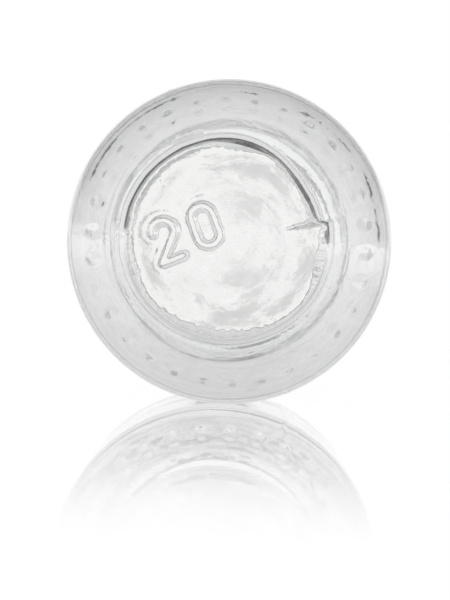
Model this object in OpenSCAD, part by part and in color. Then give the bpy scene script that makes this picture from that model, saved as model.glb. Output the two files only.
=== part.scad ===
// Glass milk bottle, one pint, lying on its side, with a clear disc cap that has a pull tab.
// The bottle is drawn standing, base down, and lie_down() lays the finished pieces along +Y.

/* [Bottle] */
// Height of the bottle from the bearing ring to the top of the lip
bottle_h = 184; // [165:1:230]
// Outside diameter of the straight body
body_d = 79; // [76:0.5:100]
// Thickness of the glass in the body and the neck
wall_t = 3.4; // [2.6:0.1:4]
// Height at which the straight body ends and the shoulder begins
shoulder_z = 84; // [60:1:100]
// Radius of the round of the shoulder
shoulder_r = 48; // [36:1:54]
// Radius of the hollow bend from the shoulder into the neck
neck_bend_r = 36; // [28:1:42]
// Outside diameter of the neck
neck_d = 45.6; // [45:0.2:48]

/* [Base] */
// Radius of the round heel between the body and the bearing ring
heel_r = 10; // [8:0.5:11]
// Width of the flat bearing ring
bearing_w = 3; // [2:0.1:5]
// Radius of the round that leads from the bearing ring up to the disc
rim_round_r = 2; // [1.2:0.1:2.6]
// Radius of the hollow corner where the disc meets that round
corner_r = 1.2; // [0.6:0.1:1.6]
// How much higher the middle of the disc is than its edge
push_crown = 0.8; // [0.2:0.1:1.4]
// Thickness of the glass in the middle of the base
base_t = 5.6; // [3:0.1:6.4]
// Height of the inside floor at its rim
floor_rim_z = 7; // [6.5:0.1:9]
// Radius of the round between the inside floor and the wall
floor_round_r = 10; // [6:0.5:12]

/* [Grip dots] */
// Number of raised dots round the heel
dot_count = 30; // [20:1:38]
// Angle of the first dot, from +X towards the top of the lying bottle
dot_phase = 10; // [0:1:11]
// Distance of the dots' circle outside the bearing ring
dot_out = 3.4; // [2.8:0.1:4]
// Radius of the ball that each dot is a part of
dot_ball_r = 2.4; // [1.8:0.1:2.8]
// How far the dots stay above the bearing plane
dot_clearance = 0.04; // [0.02:0.01:0.1]

/* [Mould number] */
// Height of the two figures
figure_h = 12.4; // [8:0.2:13]
// Width of one figure
figure_w = 8; // [6:0.2:8.6]
// Width of a figure's stroke
stroke_w = 2.5; // [1.6:0.1:2.6]
// Gap between the two figures
figure_gap = 2; // [1:0.1:2.4]
// How far the figures stand out of the disc
relief = 0.5; // [0.3:0.05:0.8]
// Distance of the number's middle from the bottle's axis, sideways
number_x = -10.5; // [-12:0.5:-8]
// Distance of the number's middle from the bottle's axis, upwards
number_y = 1.6; // [-3:0.1:3]
// Slope of the number's line
number_tilt = 23; // [0:1:40]

/* [Mould seams] */
// Angle of the first body seam, from +X towards the top of the lying bottle
seam_angle = 114; // [100:1:130]
// Width of a seam's ridge
seam_w = 0.5; // [0.3:0.1:0.8]
// Height of a seam's ridge
seam_h = 0.14; // [0.08:0.01:0.2]

/* [Lip and cap seat] */
// Outside diameter of the lip
lip_d = 52.4; // [51:0.2:56]
// Height of the lip above the hollow under it
lip_h = 13; // [10:0.5:16]
// Height of the hollow sweep that leads from the neck out to the lip
lip_sweep_h = 6; // [4:0.5:8]
// Diameter of the bore that holds the cap
seat_d = 41.6; // [41:0.1:42]
// Depth of the cap's ledge below the top of the lip
seat_depth = 5.6; // [4.6:0.1:6.4]
// Diameter of the throat below the ledge
throat_d = 38; // [36:0.1:38.4]
// Length of the straight throat
throat_l = 12; // [8:0.5:14]
// Length over which the throat opens into the neck
throat_ease_l = 6; // [3:0.5:8]

/* [Cap] */
// Clearance between the cap's rim and the bore
cap_clearance = 0.15; // [0.1:0.05:0.3]
// Gap under the cap, above the ledge
cap_lift = 0.05; // [0.02:0.01:0.1]
// Thickness of the stiff disc
cap_disc_t = 1.1; // [0.8:0.05:1.4]
// Chamfer of the stiff disc's lower rim
cap_disc_chamfer = 0.3; // [0.1:0.05:0.4]
// Thickness of the cover film
film_t = 0.35; // [0.25:0.05:0.5]
// Width of the pull tab
tab_w = 18; // [14:0.5:20]
// Length of the pull tab from its fold to its round end
tab_l = 15; // [12:0.5:17]
// Distance of the tab's fold from the middle of the cap
fold_y = -6; // [-8:0.5:-4]
// Gap under the tab, above the disc
tab_lift = 0.05; // [0.02:0.01:0.1]
// Gap of the die cut round the tab
tab_gap = 0.15; // [0.1:0.05:0.3]
// Radius of the thumb notch at the tab's end
notch_r = 4; // [3:0.5:5]

/* [Staple] */
// Diameter of the staple's wire
wire_d = 0.6; // [0.4:0.05:0.7]
// Width of the staple across its legs
staple_w = 9; // [6:0.5:12]
// Distance from the tab's fold to the staple
staple_from_fold = 2.4; // [1.5:0.1:3]
// Inner radius of the staple's bends
staple_bend_r = 0.15; // [0.1:0.05:0.3]
// Length of each clinched leg
clinch_l = 2.2; // [1.5:0.1:3]
// Clearance of the staple's holes round its legs
hole_clearance = 0.06; // [0.04:0.01:0.1]

/* [Hidden] */
$fn = 96;

arc_step = 5;          // degrees between the points of a round stretch
embed = 1;             // depth to which ridges and figures reach into the glass
seam_from = -50;       // angle on the heel's round at which the seams start
small_round_r = 0.8;   // round at the ledge's inner corner

body_r = body_d / 2;
neck_r = neck_d / 2;
inner_r = body_r - wall_t;
inner_neck_r = neck_r - wall_t;
lip_r = lip_d / 2;
seat_r = seat_d / 2;
throat_r = throat_d / 2;
lip_round_r = (lip_r - seat_r) / 2;
heel_in_r = body_r - heel_r;
bearing_in_r = heel_in_r - bearing_w;
push_r = bearing_in_r - rim_round_r;
push_h = rim_round_r + corner_r;
disc_r = push_r - corner_r;
floor_z = push_h + push_crown + base_t;
hollow_z = bottle_h - lip_h - lip_sweep_h;
seat_z = bottle_h - seat_depth;
throat_z = seat_z - throat_l;
dot_ring_r = heel_in_r + dot_out;

// The shoulder's round and the neck's hollow bend meet where both lean by shoulder_lean.
bend_sum = shoulder_r + neck_bend_r;
shoulder_lean = acos(1 - (body_r - neck_r) / bend_sum);
neck_z = shoulder_z + bend_sum * sin(shoulder_lean);

cap_r = seat_r - cap_clearance;
cap_disc_z = seat_z + cap_lift;
film_z = cap_disc_z + cap_disc_t;
cap_top_z = film_z + film_t;
staple_y = fold_y - staple_from_fold;
tab_end_y = fold_y + tab_l - tab_w / 2;
bend_mid_r = staple_bend_r + wire_d / 2;

glass = [0.95, 0.96, 0.95, 0.45];
clear = [0.95, 0.95, 0.94, 0.5];
steel = [0.70, 0.70, 0.72];

// Points of a circular arc about c, from angle a0 to a1.
function arc(c, r, a0, a1, step = arc_step) =
    let (steps = max(2, ceil(abs(a1 - a0) / step)))
    [for (i = [0 : steps]) c + r * [cos(a0 + (a1 - a0) * i / steps), sin(a0 + (a1 - a0) * i / steps)]];

// Points of a shallow crown from the rim (rim_r, rim_z) to a middle that is rise higher, rim first.
function crown(rim_r, rim_z, rise) =
    let (ball_r = (rim_r * rim_r + rise * rise) / (2 * rise), span = asin(rim_r / ball_r), steps = 6)
    [for (i = [0 : steps]) let (a = span * (1 - i / steps))
        [ball_r * sin(a), rim_z + rise - ball_r * (1 - cos(a))]];

function reversed(points) = [for (i = [len(points) - 1 : -1 : 0]) points[i]];

// Points of a smooth sweep from p to q that starts and ends upright.
function sweep(p, q) =
    let (steps = 8)
    [for (i = [0 : steps]) let (t = i / steps, s = t * t * (3 - 2 * t))
        [p[0] + (q[0] - p[0]) * s, p[1] + (q[1] - p[1]) * t]];

// Outside of the glass under the base, from the axis to the bearing ring.
base_under = concat(
    reversed(crown(disc_r, push_h, push_crown)),
    reversed(arc([disc_r, push_h - corner_r], corner_r, 0, 85, 15)),
    arc([bearing_in_r, rim_round_r], rim_round_r, 190, 270, 10));

// Outside of the glass from the bearing ring up to the neck, grown by out.
function side(out = 0, from = -90) = concat(
    arc([heel_in_r, heel_r], heel_r + out, from, 0),
    arc([body_r - shoulder_r, shoulder_z], shoulder_r + out, 0, shoulder_lean),
    reversed(arc([neck_r + neck_bend_r, neck_z], neck_bend_r - out, 180, 180 + shoulder_lean)));

// The hollow sweep under the lip, the straight lip and the round over its top into the bore.
lip_side = concat(
    sweep([neck_r, hollow_z], [lip_r, bottle_h - lip_h]),
    arc([lip_r - lip_round_r, bottle_h - lip_round_r], lip_round_r, 0, 180, 10));

// Inside of the glass, from the bore of the cap seat down to the axis.
inside = concat(
    [[seat_r, seat_z]],
    arc([throat_r + small_round_r, seat_z - small_round_r], small_round_r, 90, 180, 30),
    reversed(sweep([inner_neck_r, throat_z - throat_ease_l], [throat_r, throat_z])),
    arc([neck_r + neck_bend_r, neck_z], neck_bend_r + wall_t, 180, 180 + shoulder_lean),
    reversed(arc([body_r - shoulder_r, shoulder_z], shoulder_r - wall_t, 0, shoulder_lean)),
    reversed(arc([inner_r - floor_round_r, floor_rim_z + floor_round_r], floor_round_r, -90, 0)),
    crown(inner_r - floor_round_r - 1, floor_rim_z, floor_z - floor_rim_z));

// Lays what is drawn standing along +Y, with its body resting on z = 0.
module lie_down() {
    translate([0, -bottle_h / 2, body_r]) rotate([-90, 0, 0]) children();
}

// Points round a stroke of half width h that follows the path's points, with round ends.
function stroke(path, h) = concat(left_side(path, h), left_side(reversed(path), h));

// The stroke's left side, with a round corner where the path turns right, and the round at its end.
function left_side(path, h) =
    let (last = len(path) - 1)
    [for (i = [0 : last])
        let (
            before = quarter_left(path[max(i, 1)] - path[max(i, 1) - 1]),
            after = i == last ? -before : quarter_left(path[i + 1] - path[i]),
            turn = i == last ? 180 : cross(before, after) < -0.5 ? acos(before * after) : 0,
            start = atan2(before[1], before[0]), steps = ceil(turn / 30))
        each turn == 0 ? [path[i] + h * (before + after) / (1 + before * after)] :
            [for (k = [0 : steps])
                path[i] + h * [cos(start - turn * k / steps), sin(start - turn * k / steps)]]
    ];

// The direction of v, turned a quarter to the left.
function quarter_left(v) = [-v[1], v[0]] / norm(v);

// A figure two, its lower left corner at the origin.
module figure_two() {
    edge = stroke_w / 2;
    bow_r = figure_w / 2 - edge;
    bow_c = [figure_w / 2, figure_h - figure_w / 2];
    polygon(stroke(concat(
        reversed(arc(bow_c, bow_r, -35, 170, 15)), [[edge, edge], [figure_w - edge, edge]]), edge));
}

// Points of an upright oval with straight sides, inset by in.
function oval(in) =
    let (r = figure_w / 2 - in)
    concat(
        arc([figure_w / 2, figure_h - figure_w / 2], r, 0, 180, 15),
        arc([figure_w / 2, figure_w / 2], r, 180, 360, 15));

// A figure nought, its lower left corner at the origin.
module figure_nought() {
    difference() {
        polygon(oval(0));
        polygon(oval(stroke_w));
    }
}

// Both figures, centred on the number's place under the base.
module number_outline() {
    translate([number_x, number_y]) rotate(number_tilt) {
        translate([-figure_gap / 2 - figure_w, -figure_h / 2]) figure_two();
        translate([figure_gap / 2, -figure_h / 2]) figure_nought();
    }
}

// The number in relief on the disc. The drawing is mirrored because it is read from below.
module number_relief() {
    intersection() {
        mirror([0, 1, 0])
            linear_extrude(height = push_h + push_crown + embed) number_outline();
        rotate_extrude()
            polygon(concat(
                reversed(crown(disc_r, push_h - relief, push_crown)),
                [[disc_r, push_h + push_crown + embed], [0, push_h + push_crown + embed]]));
    }
}

// The two ridges that the mould's halves leave along the body.
module mould_seams() {
    ridge = concat(
        side(seam_h, seam_from), [[neck_r + seam_h, hollow_z], [neck_r - embed, hollow_z]],
        reversed(side(-embed, seam_from)));
    for (half = [0, 180])
        rotate([0, 0, -seam_angle + half])
            rotate([90, 0, 0])
                linear_extrude(height = seam_w, center = true) polygon(ridge);
}

module bottle() {
    color(glass) lie_down() {
        rotate_extrude() polygon(concat(base_under, side(), lip_side, inside));
        for (i = [0 : dot_count - 1])
            rotate([0, 0, -dot_phase - 360 * i / dot_count])
                translate([dot_ring_r, 0, dot_ball_r + dot_clearance]) sphere(r = dot_ball_r);
        number_relief();
        mould_seams();
    }
}

// Holes for the staple's legs through a sheet of the cap.
module staple_holes(z, t) {
    for (side_x = [-1, 1])
        translate([side_x * staple_w / 2, staple_y, z - t])
            cylinder(d = wire_d + 2 * hole_clearance, h = 3 * t);
}

module cap_disc() {
    color(clear) lie_down() difference() {
        rotate_extrude()
            polygon([
                [0, cap_disc_z],
                [cap_r - cap_disc_chamfer, cap_disc_z],
                [cap_r, cap_disc_z + cap_disc_chamfer],
                [cap_r, film_z],
                [0, film_z]
            ]);
        staple_holes(cap_disc_z, cap_disc_t);
    }
}

// Outline of the pull tab, grown by out, with its fold at fold_y and a half-round end.
module tab_outline(out = 0) {
    end_r = tab_w / 2 + out;
    intersection() {
        union() {
            translate([-end_r, fold_y - out]) square([2 * end_r, tab_end_y - fold_y + out]);
            translate([0, tab_end_y]) circle(r = end_r);
        }
        translate([-end_r, fold_y - out]) square([2 * end_r, tab_l + 2 * out]);
    }
}

module cap_film() {
    color(clear) lie_down() difference() {
        translate([0, 0, film_z]) linear_extrude(height = film_t) difference() {
            circle(r = cap_r);
            tab_outline(tab_gap);
            translate([0, fold_y + tab_l]) circle(r = notch_r);
        }
        staple_holes(film_z, film_t);
    }
}

module pull_tab() {
    color(clear) lie_down()
        translate([0, 0, film_z + tab_lift]) linear_extrude(height = film_t - tab_lift) tab_outline();
}

// A quarter bend of wire about the origin, from +X towards +Y.
module wire_bend() {
    rotate_extrude(angle = 90) translate([bend_mid_r, 0]) circle(d = wire_d);
}

// Half of the staple: half the crown, the leg and the clinched end, on the +X side.
module staple_half() {
    crown_z = cap_top_z + bend_mid_r;
    clinch_z = cap_disc_z - bend_mid_r;
    leg_x = staple_w / 2;
    bend_x = leg_x - bend_mid_r;
    translate([0, 0, crown_z]) rotate([0, 90, 0]) cylinder(d = wire_d, h = bend_x);
    translate([bend_x, 0, crown_z - bend_mid_r]) rotate([90, 0, 0]) wire_bend();
    translate([leg_x, 0, clinch_z + bend_mid_r])
        cylinder(d = wire_d, h = crown_z - clinch_z - 2 * bend_mid_r);
    translate([bend_x, 0, clinch_z + bend_mid_r]) rotate([-90, 0, 0]) wire_bend();
    translate([bend_x - clinch_l, 0, clinch_z]) rotate([0, 90, 0]) cylinder(d = wire_d, h = clinch_l);
}

module staple() {
    color(steel) lie_down() translate([0, staple_y, 0]) {
        staple_half();
        mirror([1, 0, 0]) staple_half();
    }
}

bottle();
cap_disc();
cap_film();
pull_tab();
staple();
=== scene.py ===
import math
import bpy
import numpy as np
from mathutils import Matrix, Vector


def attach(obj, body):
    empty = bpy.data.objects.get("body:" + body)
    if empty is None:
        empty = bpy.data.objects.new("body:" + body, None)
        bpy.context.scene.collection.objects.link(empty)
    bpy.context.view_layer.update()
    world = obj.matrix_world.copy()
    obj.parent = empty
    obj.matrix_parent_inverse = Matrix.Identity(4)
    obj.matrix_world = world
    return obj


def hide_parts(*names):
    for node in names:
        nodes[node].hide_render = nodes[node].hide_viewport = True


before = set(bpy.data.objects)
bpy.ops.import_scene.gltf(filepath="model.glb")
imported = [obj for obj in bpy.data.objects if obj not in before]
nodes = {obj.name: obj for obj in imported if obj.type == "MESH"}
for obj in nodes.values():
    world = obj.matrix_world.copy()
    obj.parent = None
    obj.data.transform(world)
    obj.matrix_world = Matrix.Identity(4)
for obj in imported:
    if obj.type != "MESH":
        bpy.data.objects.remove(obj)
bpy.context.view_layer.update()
mm = 0.001


def deselectAll():
    if bpy.context.object and bpy.context.object.mode != "OBJECT":
        bpy.ops.object.mode_set(mode="OBJECT")
    bpy.ops.object.select_all(action="DESELECT")


def makeActive(piece):
    deselectAll()
    piece.select_set(True)
    bpy.context.view_layer.objects.active = piece


def applyModifier(piece, kind, **settings):
    modifier = piece.modifiers.new(kind.lower(), kind)
    for key, value in settings.items():
        setattr(modifier, key, value)
    makeActive(piece)
    bpy.ops.object.modifier_apply(modifier=modifier.name)


def newMaterial(name):
    material = bpy.data.materials.new(name)
    material.use_nodes = True
    tree = material.node_tree
    return material, tree, tree.nodes["Principled BSDF"]


def addNode(tree, kind, **settings):
    node = tree.nodes.new(kind)
    for key, value in settings.items():
        if key in node.inputs:
            node.inputs[key].default_value = value
        else:
            setattr(node, key, value)
    return node


def calc(tree, operation, *values):
    node = tree.nodes.new("ShaderNodeMath")
    node.operation = operation
    for socket, value in zip(node.inputs, values):
        if isinstance(value, bpy.types.NodeSocket):
            tree.links.new(value, socket)
        else:
            socket.default_value = value
    return node.outputs["Value"]


def easeRange(tree, value, low, high):
    node = tree.nodes.new("ShaderNodeMapRange")
    node.interpolation_type = "SMOOTHSTEP"
    tree.links.new(value, node.inputs["Value"])
    node.inputs["From Min"].default_value = low
    node.inputs["From Max"].default_value = high
    return node.outputs["Result"]


def lessThanOne(tree, value):
    return calc(tree, "SUBTRACT", 1, value)


def product(tree, first, *others):
    for value in others:
        first = calc(tree, "MULTIPLY", first, value)
    return first


def distance(tree, a, b):
    return calc(tree, "SQRT", calc(tree, "ADD", product(tree, a, a), product(tree, b, b)))


bottle = {
    "height": 184, "bodyRadius": 39.5, "wall": 3.4,
    "heelRadius": 10, "rimRound": 2, "rimStart": 25, "recessRadius": 24.2, "crown": 0.8,
    "wallFoot": (24.0, 3.2), "discEdge": (22.9, 3.6),
    "baseThickness": 5.2, "floorRim": 7, "floorRound": 10,
    "shoulderStart": 84, "shoulderRadius": 48, "neckBend": 36, "neckRadius": 22.8,
    "lipRadius": 26.2, "lipHeight": 13, "lipSweep": 6, "seatRadius": 20.8, "seatDepth": 5.6,
    "throatRadius": 19, "throatLength": 12, "throatEase": 6, "seatRound": 0.8,
    "around": 400,
    "seamAngle": 114, "seamHeight": 0.16, "seamEnd": 166,
    "dotCount": 30, "dotPhase": 10, "dotOut": 3.4, "dotRadius": 2.0, "dotLength": 1.15, "dotHeight": 0.3,
    "streakHeight": 0.12, "discWaveHeight": 0.09, "floorWaveHeight": 0.1, "wallWaveHeight": 0.1,
    "scarHeight": 0.55,
}


def arcPoints(cx, cz, radius, start, end, count):
    angles = [math.radians(start + (end - start) * i / count) for i in range(count + 1)]
    return [(cx + radius * math.cos(a), cz + radius * math.sin(a)) for a in angles]


def sweepPoints(p, q, count):
    points = []
    for i in range(count + 1):
        t = i / count
        s = t * t * (3 - 2 * t)
        points.append((p[0] + (q[0] - p[0]) * s, p[1] + (q[1] - p[1]) * t))
    return points


def crownPoints(rim, rimZ, rise, count):
    ball = (rim * rim + rise * rise) / (2 * rise)
    return [(rim * i / count, rimZ + rise - (ball - math.sqrt(ball * ball - (rim * i / count) ** 2)))
            for i in range(count + 1)]


def stepPoints(p, q, shares):
    return [(p[0] + (q[0] - p[0]) * t, p[1] + (q[1] - p[1]) * t) for t in shares]


def linePoints(p, q, count):
    return stepPoints(p, q, [i / count for i in range(count + 1)])


def bottleProfile(b):
    heelIn = b["bodyRadius"] - b["heelRadius"]
    turned = math.radians(b["rimStart"])
    bearingIn = b["recessRadius"] + b["rimRound"] * math.cos(turned)
    edge, foot = b["discEdge"], b["wallFoot"]
    rim = (b["recessRadius"], b["rimRound"] * (1 - math.sin(turned)))
    floorTop = edge[1] + b["crown"] + b["baseThickness"]
    inner = b["bodyRadius"] - b["wall"]
    innerNeck = b["neckRadius"] - b["wall"]
    bendSum = b["shoulderRadius"] + b["neckBend"]
    lean = math.degrees(math.acos(1 - (b["bodyRadius"] - b["neckRadius"]) / bendSum))
    neckZ = b["shoulderStart"] + bendSum * math.sin(math.radians(lean))
    shoulderCx = b["bodyRadius"] - b["shoulderRadius"]
    neckCx = b["neckRadius"] + b["neckBend"]
    lipRound = (b["lipRadius"] - b["seatRadius"]) / 2
    seatZ = b["height"] - b["seatDepth"]
    throatZ = seatZ - b["throatLength"]
    hollowZ = b["height"] - b["lipHeight"] - b["lipSweep"]
    lipBottom = b["height"] - b["lipHeight"]
    parts = [
        crownPoints(*edge, b["crown"], 60),
        stepPoints(edge, foot, (0.03, 0.97)),
        stepPoints(foot, rim, (0, 0.1, 0.5, 0.9)),
        arcPoints(bearingIn, b["rimRound"], b["rimRound"], 180 + b["rimStart"], 270, 12),
        linePoints((bearingIn, 0), (heelIn, 0), 7),
        arcPoints(heelIn, b["heelRadius"], b["heelRadius"], -90, 0, 38),
        linePoints((b["bodyRadius"], b["heelRadius"]), (b["bodyRadius"], b["shoulderStart"]), 14),
        arcPoints(shoulderCx, b["shoulderStart"], b["shoulderRadius"], 0, lean, 9),
        arcPoints(neckCx, neckZ, b["neckBend"], 180 + lean, 180, 8),
        linePoints((b["neckRadius"], neckZ), (b["neckRadius"], hollowZ), 4),
        sweepPoints((b["neckRadius"], hollowZ), (b["lipRadius"], lipBottom), 6),
        arcPoints(b["lipRadius"] - lipRound, b["height"] - lipRound, lipRound, 0, 180, 10),
        [(b["seatRadius"], seatZ)],
        arcPoints(b["throatRadius"] + b["seatRound"], seatZ - b["seatRound"], b["seatRound"], 90, 180, 3),
        sweepPoints((innerNeck, throatZ - b["throatEase"]), (b["throatRadius"], throatZ), 3)[::-1],
        arcPoints(neckCx, neckZ, b["neckBend"] + b["wall"], 180, 180 + lean, 7),
        arcPoints(shoulderCx, b["shoulderStart"], b["shoulderRadius"] - b["wall"], lean, 0, 7),
        linePoints((inner, b["shoulderStart"]), (inner, b["floorRim"] + b["floorRound"]), 10),
        arcPoints(inner - b["floorRound"], b["floorRim"] + b["floorRound"], b["floorRound"], 0, -90, 10),
        crownPoints(inner - b["floorRound"] - 2, b["floorRim"], floorTop - b["floorRim"], 18)[::-1],
    ]
    points = []
    for part in parts:
        for p in part:
            if not points or math.dist(p, points[-1]) > 1e-4:
                points.append(p)
    return points


def placeOf(b, r, z, angle):
    a = math.radians(angle)
    return Vector((r * math.cos(a), z - b["height"] / 2, b["bodyRadius"] + r * math.sin(a))) * mm


def spinBottle(b):
    deselectAll()
    points = bottleProfile(b)
    places = [placeOf(b, r, z, b["seamAngle"]) for r, z in points]
    bpy.ops.mesh.primitive_plane_add(size=mm, location=places[0])
    piece = bpy.context.object
    bpy.ops.object.transform_apply(location=True, rotation=True, scale=True)
    bpy.ops.object.mode_set(mode="EDIT")
    bpy.ops.mesh.merge(type="CENTER")
    for before, after in zip(places, places[1:]):
        bpy.ops.mesh.extrude_region_move(TRANSFORM_OT_translate={"value": after - before})
    bpy.ops.mesh.select_all(action="SELECT")
    bpy.ops.mesh.spin(steps=b["around"], angle=math.tau, center=(0, 0, b["bodyRadius"] * mm), axis=(0, 1, 0))
    bpy.ops.mesh.select_all(action="SELECT")
    bpy.ops.mesh.remove_doubles(threshold=1e-6)
    bpy.ops.mesh.normals_make_consistent(inside=False)
    bpy.ops.object.mode_set(mode="OBJECT")
    bpy.ops.object.shade_smooth()
    return piece


def polarPlaces(piece, b):
    count = len(piece.data.vertices)
    flat = np.zeros(count * 3)
    piece.data.vertices.foreach_get("co", flat)
    co = flat.reshape(-1, 3) / mm
    across = co[:, 0]
    up = co[:, 2] - b["bodyRadius"]
    normal = np.zeros(count * 3)
    piece.data.vertices.foreach_get("normal", normal)
    normal = normal.reshape(-1, 3)
    outward = normal[:, 0] * across + normal[:, 2] * up
    return {
        "u": across, "v": up, "r": np.hypot(across, up), "z": co[:, 1] + b["height"] / 2,
        "angle": np.degrees(np.arctan2(up, across)) % 360, "normal": normal, "outward": outward,
    }


def smoothStep(low, high, x):
    t = np.clip((x - low) / (high - low), 0, 1)
    return t * t * (3 - 2 * t)


def paintGroup(piece, name, weights):
    group = piece.vertex_groups.new(name=name)
    for i in np.nonzero(weights > 1e-4)[0]:
        group.add([int(i)], float(min(weights[i], 1)), "REPLACE")
    return name


def segmentDistance(u, v, p, q):
    du, dv = q[0] - p[0], q[1] - p[1]
    t = np.clip(((u - p[0]) * du + (v - p[1]) * dv) / (du * du + dv * dv), 0, 1)
    return np.hypot(u - p[0] - t * du, v - p[1] - t * dv)


def arcDistance(u, v, c, radius, start, end):
    a = np.degrees(np.arctan2(v - c[1], u - c[0]))
    a = (a - start) % 360 + start
    onArc = np.abs(np.hypot(u - c[0], v - c[1]) - radius)
    tips = [(c[0] + radius * math.cos(t), c[1] + radius * math.sin(t)) for t in map(math.radians, (start, end))]
    toTips = [np.hypot(u - tip[0], v - tip[1]) for tip in tips]
    return np.where(a <= end, onArc, np.minimum(*toTips))


def chill(x, y, seed, count=9):
    total = np.zeros(len(x))
    for i in range(count):
        turn = math.radians(137.5 * i + 61 * seed)
        pace = 1 + 0.37 * ((i * 5 + seed * 3) % 7) / 3
        total += np.sin(math.tau * pace * (x * math.cos(turn) + y * math.sin(turn)) + 1.7 * i + seed)
    return total / math.sqrt(count / 2) / 2


number = {
    "place": (-9.9, 1.6), "tilt": 23, "height": 12.4, "width": 8, "gap": 2, "stroke": 2.6,
    "relief": 0.42, "round": 1.15, "moat": 0.07, "moatAt": 0.75, "moatWidth": 0.5,
}

# the shears' mark: a wedge that widens across the disc, and a fold that curves away from its start
scar = {"from": 12.3, "to": 24.6, "angle": 13.6, "turn": 0.6, "startWidth": 0.6, "endWidth": 2.7,
        "arc": [(6.3, 10.9), (8.6, 9.2), (10.6, 6.6), (12.5, 3.0)], "fade": 1.6, "fold": 0.3}

# the edge of the disc runs a little out of round, steps in beside the shears' mark and is chilled ragged
edgeForm = {
    "middle": -0.6, "lean": 0.5, "oval": 0.2, "stepIn": 2.25, "stepFrom": (12, 15.5), "stepTo": (33, 90),
    "wallWide": 0.25, "wallBumps": [(36, 24, 0.8), (80, 17, 1.1), (171, 7, 0.45), (7, 5, 0.9)],
    "bandWide": 0.12, "bandSlope": 19, "bandBumps": [
        (24, 12, 1.2), (52, 12, 0.9), (91, 16, 1.3), (168, 5, 0.7), (196, 22, 1.5), (262, 40, 2.0), (352, 18, 2.3),
    ],
    "raggedBand": 0.35, "raggedWall": 0.12, "reach": (18.5, 29.5),
}


def numberDistance(n, u, v):
    a = math.radians(n["tilt"])
    x = (u - n["place"][0]) * math.cos(a) + (v - n["place"][1]) * math.sin(a)
    y = -(u - n["place"][0]) * math.sin(a) + (v - n["place"][1]) * math.cos(a) + n["height"] / 2
    half = n["stroke"] / 2
    w, h = n["width"], n["height"]
    r = w / 2 - half
    x2 = x + n["gap"] / 2 + w
    top = (w / 2, h - w / 2)
    knee = (top[0] + r * math.cos(math.radians(-35)), top[1] + r * math.sin(math.radians(-35)))
    two = np.minimum.reduce([
        arcDistance(x2, y, top, r, -35, 170),
        segmentDistance(x2, y, knee, (half, half)),
        segmentDistance(x2, y, (half, half), (w - half, half)),
    ])
    x0 = x - n["gap"] / 2
    nought = np.minimum.reduce([
        arcDistance(x0, y, top, r, 0, 180),
        arcDistance(x0, y, (w / 2, w / 2), r, 180, 360),
        segmentDistance(x0, y, (half, w / 2), (half, h - w / 2)),
        segmentDistance(x0, y, (w - half, w / 2), (w - half, h - w / 2)),
    ])
    return np.minimum(two, nought) - half


def stepAlong(u, v, points, fade):
    # a fold: full height on one side of the line, fading away from it, nothing on the other side
    best = np.full(len(u), 1e9)
    side = np.zeros(len(u))
    for p, q in zip(points, points[1:]):
        gap = segmentDistance(u, v, p, q)
        turn = (q[0] - p[0]) * (v - p[1]) - (q[1] - p[1]) * (u - p[0])
        side = np.where(gap < best, np.sign(turn), side)
        best = np.minimum(best, gap)
    ends = np.minimum(np.hypot(u - points[0][0], v - points[0][1]), 3) / 3
    return np.exp(-best / fade) * (side > 0) * ends


def bumps(angle, low, items):
    total = np.full(len(angle), float(low))
    for middle, half, height in items:
        total = np.maximum(total, height * np.exp(-(((angle - middle + 180) % 360 - 180) / half) ** 2))
    return total


def edgeMoves(b, e, r, angle):
    # how far each point near the edge of the disc moves along the radius, and how far into the glass
    a = np.radians(angle)
    ragged = np.round(2.5 * chill(9 * np.cos(a), 9 * np.sin(a), 2)) / 2.5
    fine = chill(17 * np.cos(a), 17 * np.sin(a), 5)
    stepped = smoothStep(*e["stepFrom"], angle) * (1 - smoothStep(*e["stepTo"], angle))
    rim = b["recessRadius"] + e["lean"] * np.sin(a) + e["oval"] * np.cos(2 * a) - e["stepIn"] * stepped
    rim = rim + 0.04 * fine * (0.3 + stepped)
    wall = bumps(angle, e["wallWide"], e["wallBumps"]) + e["raggedWall"] * fine * (0.4 + stepped)
    wall = np.maximum(wall, 0.08)
    band = bumps(angle, e["bandWide"], e["bandBumps"])
    band = np.maximum(band + e["raggedBand"] * (ragged + 0.4 * fine) * np.clip(band, 0.3, 1), 0.1)
    ball = (b["discEdge"][0] ** 2 + b["crown"] ** 2) / (2 * b["crown"])
    lift = np.sqrt(ball ** 2 - (rim - wall - band) ** 2) - math.sqrt(ball ** 2 - b["discEdge"][0] ** 2)
    foot = b["discEdge"][1] + lift - band * math.tan(math.radians(e["bandSlope"])) - b["wallFoot"][1]
    reach = b["rimRound"] * math.cos(math.radians(b["rimStart"]))
    near, far = e["reach"]
    before = [near, b["discEdge"][0], b["wallFoot"][0], b["recessRadius"], b["recessRadius"] + reach, far]
    after = [np.full(len(r), near), rim - wall - band, rim - wall, rim, rim + reach, np.full(len(r), far)]
    moved = np.zeros(len(r))
    deeper = np.zeros(len(r))
    for i in range(len(before) - 1):
        t = (r - before[i]) / (before[i + 1] - before[i])
        here = (t >= 0) & (t < 1)
        moved = np.where(here, after[i] + (after[i + 1] - after[i]) * t - r, moved)
        if i == 0:  # the disc keeps its crown
            along = np.sqrt(ball ** 2 - np.minimum(r + moved, far) ** 2)
            along = along - np.sqrt(ball ** 2 - np.minimum(r, far) ** 2)
        elif i == 1:
            along = lift * (1 - t) + foot * t
        else:
            along = foot * (1 - t) * (i == 2)
        deeper = np.where(here, along, deeper)
    return moved, deeper


def pushAlong(piece, axis, amount):
    for side, name in ((1, "Out"), (-1, "In")):
        most = float(np.max(amount * side))
        if most > 0:
            group = paintGroup(piece, "push" + axis + name, np.clip(amount * side / most, 0, 1))
            applyModifier(piece, "DISPLACE", strength=side * most * mm, mid_level=0, direction=axis,
                          vertex_group=group)


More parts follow.
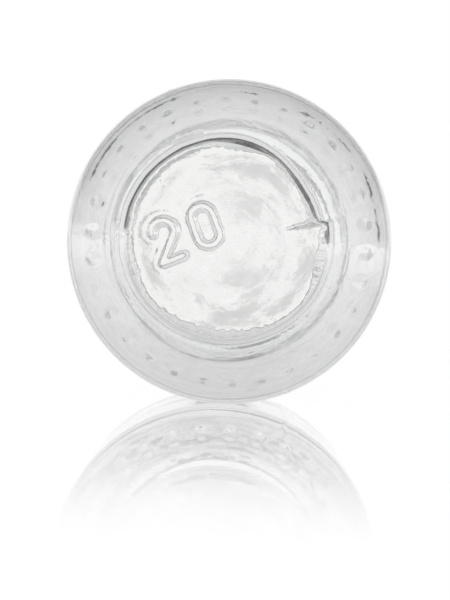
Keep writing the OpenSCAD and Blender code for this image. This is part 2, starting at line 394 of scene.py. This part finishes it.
def gripDots(b, p, under):
    # on the foot of the heel, no two quite alike
    heelIn = b["bodyRadius"] - b["heelRadius"]
    step = 360 / b["dotCount"]
    turns = np.round((p["angle"] - b["dotPhase"]) / step)
    off = p["angle"] - b["dotPhase"] - turns * step
    uneven = 0.8 + 0.2 * np.sin(turns * 2.4 + 1) * np.sin(turns * 1.1)
    away = np.hypot((p["r"] - heelIn - b["dotOut"]) / b["dotLength"], p["r"] * np.radians(off))
    return np.clip(1 - (away / b["dotRadius"]) ** 2, 0, 1) ** 2 * uneven * under * (p["r"] > 29)


def mouldNumber(n, p, under):
    # round on top, with a shallow moat beside its strokes
    disc = under & (p["r"] < 23.2)
    gap = numberDistance(n, p["u"], p["v"])
    figures = np.sin(np.clip(-gap / n["round"], 0, 1) * math.pi / 2) ** 0.9 * disc
    moat = np.exp(-((gap - n["moatAt"]) / n["moatWidth"]) ** 2) * (gap > -0.1) * disc
    return figures, moat


def mouldSeams(b, p):
    # one column of points wide
    outside = (p["outward"] > 0) & (p["r"] > 29.7) & (p["z"] < b["seamEnd"])
    seam = np.zeros(len(outside))
    for line in (b["seamAngle"], b["seamAngle"] + 180):
        seam = np.maximum(seam, (np.abs((p["angle"] - line + 180) % 360 - 180) < 0.1) * outside)
    return seam


def shearsMark(m, p, under):
    u, v, r = p["u"], p["v"], p["r"]
    along = np.clip((r - m["from"]) / (m["to"] - m["from"]), 0, 1)
    width = m["startWidth"] + (m["endWidth"] - m["startWidth"]) * along
    across = r * np.radians((p["angle"] - m["angle"] - m["turn"] * along + 180) % 360 - 180)
    across = across + 0.1 * chill(u * 0.3, v * 0.3, 3)
    wedge = np.clip((across + width / 2) / width, 0, 1) * (across < width / 2) * width / m["endWidth"]
    wedge = wedge * smoothStep(0, 0.2, along) * (1 - smoothStep(m["to"], m["to"] + 1.2, r))
    fold = m["fold"] * stepAlong(u, v, m["arc"], m["fade"])
    return np.maximum(wedge, fold) * under * (r < 26.2)


def chillWaves(p, under):
    # long streaks round the heel and the bearing ring, and soft patches where the disc met the cold mould
    u, v, r, z, around = p["u"], p["v"], p["r"], p["z"], np.radians(p["angle"])
    ring = (z < 12) & (p["normal"][:, 1] < 0.3) & (r > 26)
    streaks = np.clip(0.5 + 0.35 * chill(r * 0.36, around * 0.5, 7) + 0.15 * chill(r * 0.9, around * 1.3, 3), 0, 1)
    streaks = streaks * ring * smoothStep(25.8, 27, r) * (1 - 0.75 * smoothStep(30, 33, r))
    patch = np.clip(0.5 + 0.35 * chill(u * 0.16, v * 0.16, 9) + 0.25 * chill(r * 0.3, around * 1.4, 5), 0, 1)
    patch = patch * under * (1 - smoothStep(13, 21.5, r)) * smoothStep(1, 4, r)
    return streaks, patch


def blownWaves(p):
    # slow waves of the inside of the floor and of the wall
    u, v, r, z, around = p["u"], p["v"], p["r"], p["z"], np.radians(p["angle"])
    inside = ((p["outward"] < 0) | (p["normal"][:, 1] > 0.05)) & (z > 6) & (z < 20)
    floorWave = np.clip(0.5 + 0.4 * chill(u * 0.09, v * 0.09, 4) + 0.18 * chill(u * 0.22, v * 0.22, 6), 0, 1)
    floorWave = floorWave * inside * (1 - smoothStep(22, 27, r))
    wallWave = np.clip(0.5 + 0.4 * chill(around * 0.9, z * 0.03, 8) + 0.2 * chill(around * 1.9, z * 0.06, 1), 0, 1)
    wallWave = wallWave * smoothStep(24, 44, z) * (1 - smoothStep(150, 164, z))
    return floorWave, wallWave


def shapeBottle(piece, b):
    p = polarPlaces(piece, b)
    r, around = p["r"], np.radians(p["angle"])
    heelIn = b["bodyRadius"] - b["heelRadius"]
    under = (p["z"] < 4.6) & (r < 37) & (p["normal"][:, 1] < 0)
    figures, moat = mouldNumber(number, p, under)
    streaks, patch = chillWaves(p, under)
    floorWave, wallWave = blownWaves(p)
    for name, weights, height in (
        ("dots", gripDots(b, p, under), b["dotHeight"]),
        ("number", figures, number["relief"]),
        ("moat", moat, -number["moat"]),
        ("seams", mouldSeams(b, p), b["seamHeight"]),
        ("scar", shearsMark(scar, p, under), -b["scarHeight"]),
        ("streaks", streaks, -b["streakHeight"]),
        ("patch", patch, -b["discWaveHeight"]),
        ("floorWave", floorWave, b["floorWaveHeight"]),
        ("wallWave", wallWave, -b["wallWaveHeight"]),
    ):
        applyModifier(piece, "DISPLACE", strength=height * mm, mid_level=0,
                      vertex_group=paintGroup(piece, name, weights))
    # the edge of the disc moves in and out along the radius
    grown, deeper = (np.where(under & (r < heelIn), m, 0) for m in edgeMoves(b, edgeForm, r, p["angle"]))
    middle = (1 - smoothStep(25.6, 29.4, r)) * under * edgeForm["middle"]
    pushAlong(piece, "X", grown * np.cos(around) + middle)
    pushAlong(piece, "Z", grown * np.sin(around))
    pushAlong(piece, "Y", deeper)


# the glass itself, all in metres: a fine peel, longer waves on the heel and a faint frost on the disc
surface = {
    "tint": (0.95, 0.957, 0.953, 1), "ior": 1.52, "bump": 0.000036, "stretch": 0.45,
    "peelScale": 900, "peelFade": (0.024, 0.031), "peelLoss": 0.4, "outerFade": (0.032, 0.0355), "outerLoss": 0.45,
    "waveScale": 260, "waveFrom": (0.026, 0.028), "waveEnd": (-0.085, -0.076), "wave": 7,
    "frostScale": 190, "frost": 0.4, "frostPatches": (0.36, 0.66), "frostOut": (0.0205, 0.0225),
    "frostEnd": (-0.087, -0.086), "frostClear": (0.006, 0.014),
}


def glassMaterial(s):
    material, tree, shader = newMaterial("clearGlass")
    shader.inputs["Base Color"].default_value = s["tint"]
    shader.inputs["IOR"].default_value = s["ior"]
    shader.inputs["Transmission Weight"].default_value = 1
    place = addNode(tree, "ShaderNodeTexCoord")
    apart = addNode(tree, "ShaderNodeSeparateXYZ")
    tree.links.new(place.outputs["Object"], apart.inputs["Vector"])
    up = calc(tree, "SUBTRACT", apart.outputs["Z"], bottle["bodyRadius"] * mm)
    far = distance(tree, apart.outputs["X"], up)
    # the peel is strongest on the chilled base and faint on the blown walls
    peel = addNode(tree, "ShaderNodeTexNoise", Scale=s["peelScale"], Detail=3, Roughness=0.5)
    tree.links.new(place.outputs["Object"], peel.inputs["Vector"])
    outside = easeRange(tree, far, *s["outerFade"])
    share = lessThanOne(tree, product(tree, easeRange(tree, far, *s["peelFade"]), s["peelLoss"]))
    share = calc(tree, "SUBTRACT", share, product(tree, outside, s["outerLoss"]))
    # both the waves of the heel and the chill marks are drawn out round the bottle
    drawn = addNode(tree, "ShaderNodeCombineXYZ")
    for value, socket, stretch in ((far, "X", 1), (apart.outputs["X"], "Y", s["stretch"]), (up, "Z", s["stretch"])):
        tree.links.new(product(tree, value, stretch), drawn.inputs[socket])
    wave = addNode(tree, "ShaderNodeTexNoise", Scale=s["waveScale"], Detail=2, Roughness=0.5, Distortion=0.5)
    tree.links.new(drawn.outputs["Vector"], wave.inputs["Vector"])
    heelWave = product(tree, calc(tree, "SUBTRACT", wave.outputs["Fac"], 0.5),
                       easeRange(tree, far, *s["waveFrom"]), lessThanOne(tree, outside),
                       lessThanOne(tree, easeRange(tree, apart.outputs["Y"], *s["waveEnd"])), s["wave"])
    bump = addNode(tree, "ShaderNodeBump", Strength=1.0, Distance=s["bump"])
    height = calc(tree, "ADD", product(tree, peel.outputs["Fac"], share), heelWave)
    tree.links.new(height, bump.inputs["Height"])
    tree.links.new(bump.outputs["Normal"], shader.inputs["Normal"])
    # chill marks: a faint frost in patches on the outside of the disc, none of it round the number
    blotch = addNode(tree, "ShaderNodeTexNoise", Scale=s["frostScale"], Detail=6, Roughness=0.68, Distortion=0.3)
    tree.links.new(drawn.outputs["Vector"], blotch.inputs["Vector"])
    fromNumber = distance(tree, calc(tree, "SUBTRACT", apart.outputs["X"], number["place"][0] * mm),
                          calc(tree, "SUBTRACT", up, number["place"][1] * mm))
    frost = product(tree, easeRange(tree, blotch.outputs["Fac"], *s["frostPatches"]),
                    lessThanOne(tree, easeRange(tree, apart.outputs["Y"], *s["frostEnd"])),
                    lessThanOne(tree, easeRange(tree, far, *s["frostOut"])),
                    easeRange(tree, fromNumber, *s["frostClear"]), s["frost"])
    tree.links.new(frost, shader.inputs["Roughness"])
    return material


print("glass bottle")
glass = spinBottle(bottle)
glass.name = "glassBottle"
shapeBottle(glass, bottle)
glass.data.materials.clear()
glass.data.materials.append(glassMaterial(surface))
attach(glass, "glass")
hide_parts("bottle")


cap = {
    "filmGap": 0.03, "edgeRound": 0.06,
    "rings": (14.2, 18.4), "ringWidth": 0.45, "ringDepth": 0.06,
}


def copyOfNode(name):
    piece = bpy.data.objects.new(name + "Shaped", nodes[name].data.copy())
    bpy.context.scene.collection.objects.link(piece)
    piece.data.materials.clear()
    makeActive(piece)
    bpy.ops.object.mode_set(mode="EDIT")
    bpy.ops.mesh.select_all(action="SELECT")
    bpy.ops.mesh.remove_doubles(threshold=1e-6)
    bpy.ops.mesh.dissolve_limited(angle_limit=math.radians(0.5))
    bpy.ops.object.mode_set(mode="OBJECT")
    return piece


def roundEdges(piece, width, segments=3):
    # the flat faces stay flat-shaded, so that what is seen through them isn't bent
    applyModifier(piece, "BEVEL", width=width * mm, segments=segments, limit_method="ANGLE",
                  angle_limit=math.radians(50), use_clamp_overlap=True)
    makeActive(piece)
    bpy.ops.object.shade_smooth_by_angle(angle=math.radians(11))


def liftUnderside(piece, amount):
    # the film's lower face stands off the disc by a hair
    low = min(v.co.y for v in piece.data.vertices)
    makeActive(piece)
    bpy.ops.object.mode_set(mode="EDIT")
    bpy.ops.mesh.select_all(action="DESELECT")
    bpy.ops.object.mode_set(mode="OBJECT")
    for v in piece.data.vertices:
        v.select = v.co.y < low + 1e-5
    bpy.ops.object.mode_set(mode="EDIT")
    bpy.ops.transform.translate(value=(0, amount * mm, 0))
    bpy.ops.object.mode_set(mode="OBJECT")


def clearPlastic(name, roughness, scratch, rings=()):
    material, tree, shader = newMaterial(name)
    shader.inputs["Base Color"].default_value = (0.975, 0.975, 0.97, 1)
    shader.inputs["IOR"].default_value = 1.46
    shader.inputs["Transmission Weight"].default_value = 1
    place = addNode(tree, "ShaderNodeTexCoord")
    wear = addNode(tree, "ShaderNodeTexNoise", Scale=420, Detail=6, Roughness=0.7)
    tree.links.new(place.outputs["Object"], wear.inputs["Vector"])
    rough = addNode(tree, "ShaderNodeMapRange")
    tree.links.new(wear.outputs["Fac"], rough.inputs["Value"])
    limits = {"From Min": 0.35, "From Max": 0.75, "To Min": roughness, "To Max": roughness + scratch}
    for key, value in limits.items():
        rough.inputs[key].default_value = value
    tree.links.new(rough.outputs["Result"], shader.inputs["Roughness"])
    fine = addNode(tree, "ShaderNodeBump", Strength=1.0, Distance=0.000004)
    tree.links.new(wear.outputs["Fac"], fine.inputs["Height"])
    normal = fine.outputs["Normal"]
    if rings:
        apart = addNode(tree, "ShaderNodeSeparateXYZ")
        tree.links.new(place.outputs["Object"], apart.inputs["Vector"])
        up = calc(tree, "SUBTRACT", apart.outputs["Z"], bottle["bodyRadius"] * mm)
        far = distance(tree, apart.outputs["X"], up)
        height = None
        for radius in rings:
            off = calc(tree, "ABSOLUTE", calc(tree, "SUBTRACT", far, radius * mm))
            ring = lessThanOne(tree, easeRange(tree, off, 0, cap["ringWidth"] * mm))
            height = ring if height is None else calc(tree, "MAXIMUM", height, ring)
        pressed = addNode(tree, "ShaderNodeBump", Strength=1.0, Distance=cap["ringDepth"] * mm)
        tree.links.new(height, pressed.inputs["Height"])
        tree.links.new(normal, pressed.inputs["Normal"])
        normal = pressed.outputs["Normal"]
    tree.links.new(normal, shader.inputs["Normal"])
    return material


def wireMaterial():
    material, tree, shader = newMaterial("drawnSteelWire")
    shader.inputs["Metallic"].default_value = 1
    place = addNode(tree, "ShaderNodeTexCoord")
    drawn = addNode(tree, "ShaderNodeTexNoise", Scale=3000, Detail=3)
    tree.links.new(place.outputs["Object"], drawn.inputs["Vector"])
    tone = addNode(tree, "ShaderNodeValToRGB")
    tone.color_ramp.elements[0].color = (0.62, 0.62, 0.64, 1)
    tone.color_ramp.elements[1].color = (0.76, 0.76, 0.78, 1)
    tree.links.new(drawn.outputs["Fac"], tone.inputs["Fac"])
    tree.links.new(tone.outputs["Color"], shader.inputs["Base Color"])
    rough = addNode(tree, "ShaderNodeMapRange")
    tree.links.new(drawn.outputs["Fac"], rough.inputs["Value"])
    rough.inputs["To Min"].default_value = 0.2
    rough.inputs["To Max"].default_value = 0.36
    tree.links.new(rough.outputs["Result"], shader.inputs["Roughness"])
    return material


print("cap")
for name, body, material, lift in (
    ("cap_disc", "cap", clearPlastic("clearDisc", 0.01, 0.03), 0),
    ("cap_film", "cap", clearPlastic("clearFilm", 0.01, 0.04, cap["rings"]), cap["filmGap"]),
    ("pull_tab", "tab", clearPlastic("frostedTab", 0.03, 0.05), 0),
    ("staple", "cap", wireMaterial(), 0),
):
    piece = copyOfNode(name)
    if lift:
        liftUnderside(piece, lift)
    if name != "staple":
        roundEdges(piece, cap["edgeRound"])
    else:
        makeActive(piece)
        bpy.ops.object.shade_smooth_by_angle(angle=math.radians(35))
    piece.data.materials.append(material)
    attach(piece, body)
    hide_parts(name)

print("floor, light and camera")

studio = {
    "room": 0.82, "gap": 0.62, "screenEdge": (7.5, 9.5), "gapEdge": (12.5, 15.5),
    "cardDark": 0.97, "cardSide": 0.8, "cardTurn": (75, 90),
    "cardAcross": (32.5, 37), "cardBehind": (118, 126), "cardFrom": (-4, 6), "cardTo": (174, 178),
    "floorWhite": 0.95, "glow": 1.26, "glowShare": 0.75, "closeRange": (0.1, 0.5), "nearShadeLoss": 0.22,
    "underObject": (0.02, 0.092), "mirrorFade": (0.12, 0.34), "mirrorBlur": 0.02,
}


def floorMaterial(s):
    material, tree, shader = newMaterial("whiteAcrylic")
    shader.inputs["Base Color"].default_value = (s["floorWhite"],) * 3 + (1,)
    shader.inputs["Roughness"].default_value = 1
    shader.inputs["Specular IOR Level"].default_value = 0
    mirror = addNode(tree, "ShaderNodeBsdfGlossy", Color=(1, 1, 1, 1), Roughness=s["mirrorBlur"])
    place = addNode(tree, "ShaderNodeTexCoord")
    apart = addNode(tree, "ShaderNodeSeparateXYZ")
    tree.links.new(place.outputs["Object"], apart.inputs["Vector"])
    beyond = [
        calc(tree, "MAXIMUM", calc(tree, "SUBTRACT", calc(tree, "ABSOLUTE", apart.outputs[axis]), half), 0)
        for axis, half in zip("XY", s["underObject"])
    ]
    away = distance(tree, *beyond)
    # the backdrop's white, with painted shade near the object: less of it where the floor is seen close up through
    # the glass
    path = addNode(tree, "ShaderNodeLightPath")
    seen = calc(tree, "MAXIMUM", path.outputs["Is Camera Ray"], path.outputs["Is Glossy Ray"])
    seen = calc(tree, "MAXIMUM", seen, path.outputs["Is Transmission Ray"])
    close = lessThanOne(tree, easeRange(tree, away, *s["closeRange"]))
    paintedShade = product(tree, path.outputs["Is Transmission Ray"], close, s["nearShadeLoss"])
    glow = addNode(tree, "ShaderNodeEmission", Strength=s["glow"])
    white = addNode(tree, "ShaderNodeMixShader")
    tree.links.new(product(tree, seen, calc(tree, "SUBTRACT", s["glowShare"], paintedShade)), white.inputs[0])
    tree.links.new(shader.outputs["BSDF"], white.inputs[1])
    tree.links.new(glow.outputs["Emission"], white.inputs[2])
    # the mirror image fades out away from the object
    tilt = addNode(tree, "ShaderNodeFresnel", IOR=1.5)
    fade = lessThanOne(tree, easeRange(tree, away, *s["mirrorFade"]))
    top = addNode(tree, "ShaderNodeMixShader")
    tree.links.new(product(tree, tilt.outputs["Fac"], fade), top.inputs[0])
    tree.links.new(white.outputs["Shader"], top.inputs[1])
    tree.links.new(mirror.outputs["BSDF"], top.inputs[2])
    tree.links.new(top.outputs["Shader"], tree.nodes["Material Output"].inputs["Surface"])
    return material


deselectAll()
bpy.ops.mesh.primitive_plane_add(size=30, location=(0, 0, 0))
floor = bpy.context.object
floor.name = "floor"
floor.data.materials.append(floorMaterial(studio))


def studioWorld(s):
    world = bpy.data.worlds.new("studio")
    world.use_nodes = True
    tree = world.node_tree
    place = addNode(tree, "ShaderNodeTexCoord")
    apart = addNode(tree, "ShaderNodeSeparateXYZ")
    tree.links.new(place.outputs["Generated"], apart.inputs["Vector"])
    x, y, z = (apart.outputs[k] for k in "XYZ")

    def cosRange(angles):
        return easeRange(tree, y, math.cos(math.radians(angles[1])), math.cos(math.radians(angles[0])))

    around = calc(tree, "ARCTAN2", z, x)
    # the bright screen, a dim gap round it and the room's own light
    level = calc(tree, "ADD", product(tree, cosRange(s["screenEdge"]), 1 - s["gap"]), s["room"])
    level = calc(tree, "SUBTRACT", level, product(tree, cosRange(s["gapEdge"]), s["room"] - s["gap"]))
    # the dark card over the object, darkest behind it
    card = product(tree, lessThanOne(tree, cosRange(s["cardAcross"])), cosRange(s["cardBehind"]),
                   easeRange(tree, around, *map(math.radians, s["cardFrom"])),
                   lessThanOne(tree, easeRange(tree, around, *map(math.radians, s["cardTo"]))))
    dark = product(tree, cosRange(s["cardTurn"]), s["cardDark"] - s["cardSide"])
    dark = calc(tree, "ADD", dark, s["cardSide"])
    level = product(tree, level, lessThanOne(tree, product(tree, card, dark)))
    # what the camera and the floor's mirror see behind the object is white
    path = addNode(tree, "ShaderNodeLightPath")
    low = lessThanOne(tree, easeRange(tree, z, 0.2, 0.3))
    mirrored = calc(tree, "SUBTRACT", path.outputs["Is Glossy Ray"], path.outputs["Is Transmission Ray"])
    mirrored = product(tree, mirrored, low)
    white = calc(tree, "MAXIMUM", path.outputs["Is Camera Ray"], mirrored)
    level = calc(tree, "MAXIMUM", level, white)
    tree.links.new(level, tree.nodes["Background"].inputs["Color"])
    return world


bpy.context.scene.world = studioWorld(studio)

view = {
    "distance": 0.7, "eyeHeight": 0.0395, "target": (-0.00033, -0.092, 0.0255), "lens": 175.2, "roll": 2.65,
}
cameraData = bpy.data.cameras.new("camera")
camera = bpy.data.objects.new("camera", cameraData)
bpy.context.scene.collection.objects.link(camera)
cameraData.sensor_width = 36
cameraData.lens = view["lens"]
cameraData.clip_start = 0.01
target = Vector(view["target"])
eye = Vector((0, target.y - view["distance"], view["eyeHeight"]))
turn = (target - eye).to_track_quat("-Z", "Y").to_matrix().to_4x4()
camera.matrix_world = Matrix.Translation(eye) @ turn @ Matrix.Rotation(math.radians(view["roll"]), 4, "Z")
bpy.context.scene.camera = camera
bpy.context.scene.view_settings.view_transform = "Standard"
